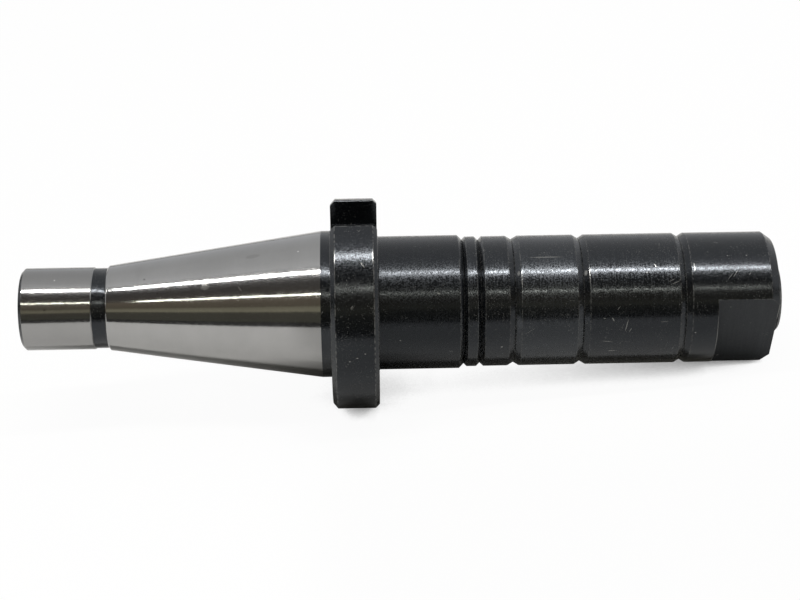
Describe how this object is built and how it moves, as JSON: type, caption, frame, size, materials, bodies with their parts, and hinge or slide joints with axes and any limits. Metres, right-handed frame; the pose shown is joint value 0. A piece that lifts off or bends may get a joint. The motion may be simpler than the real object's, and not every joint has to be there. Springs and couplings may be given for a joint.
{
  "type": "milling arbor",
  "caption": "Short milling arbor with a 7:24 spindle taper, a slotted drive flange, spacing collars on a keyed seat and a clamping nut with wrench flats.",
  "frame": {"origin": "centre of the taper's gauge plane, on the arbor's axis", "axes": "+X along the axis from the small end to the nut; +Z through the middle of one drive slot; +Y makes the frame right-handed"},
  "size_m": [0.2258, 0.063, 0.061],
  "materials": {
    "arbor_steel": "ground taper and pilot, blackened flange and shoulder",
    "key_steel": "bright drawn key steel",
    "black_oxide": "satin black oxide on turned steel, worn bright at the edges"
  },
  "bodies": {
    "arbor": {"arbor_body": "arbor_steel", "drive_key": "key_steel"},
    "collar_5": {"collar_5mm": "black_oxide"},
    "collar_10": {"collar_10mm": "black_oxide"},
    "collar_20": {"collar_20mm": "black_oxide"},
    "collar_30": {"collar_30mm": "black_oxide"},
    "nut": {"arbor_nut": "black_oxide"}
  },
  "joints": [
    {"name": "collar_5_slide", "type": "slide", "parent": "arbor", "child": "collar_5", "axis": [1, 0, 0], "range_m": [0, 0.005]},
    {"name": "collar_10_slide", "type": "slide", "parent": "arbor", "child": "collar_10", "axis": [1, 0, 0], "range_m": [0, 0.01]},
    {"name": "collar_20_slide", "type": "slide", "parent": "arbor", "child": "collar_20", "axis": [1, 0, 0], "range_m": [0, 0.015]},
    {"name": "collar_30_slide", "type": "slide", "parent": "arbor", "child": "collar_30", "axis": [1, 0, 0], "range_m": [0, 0.02]},
    {"name": "nut_turn", "type": "hinge", "parent": "collar_30", "child": "nut", "pos_m": [0.119, 0, 0], "axis": [1, 0, 0], "range_deg": [0, 3600]}
  ],
  "couplings": [
    {"joint": "collar_5_slide", "follows": "collar_30_slide", "ratio": 0.25},
    {"joint": "collar_10_slide", "follows": "collar_30_slide", "ratio": 0.5},
    {"joint": "collar_20_slide", "follows": "collar_30_slide", "ratio": 0.75},
    {"joint": "nut_turn", "follows": "collar_30_slide", "rad_per_m": 3141.6}
  ]
}
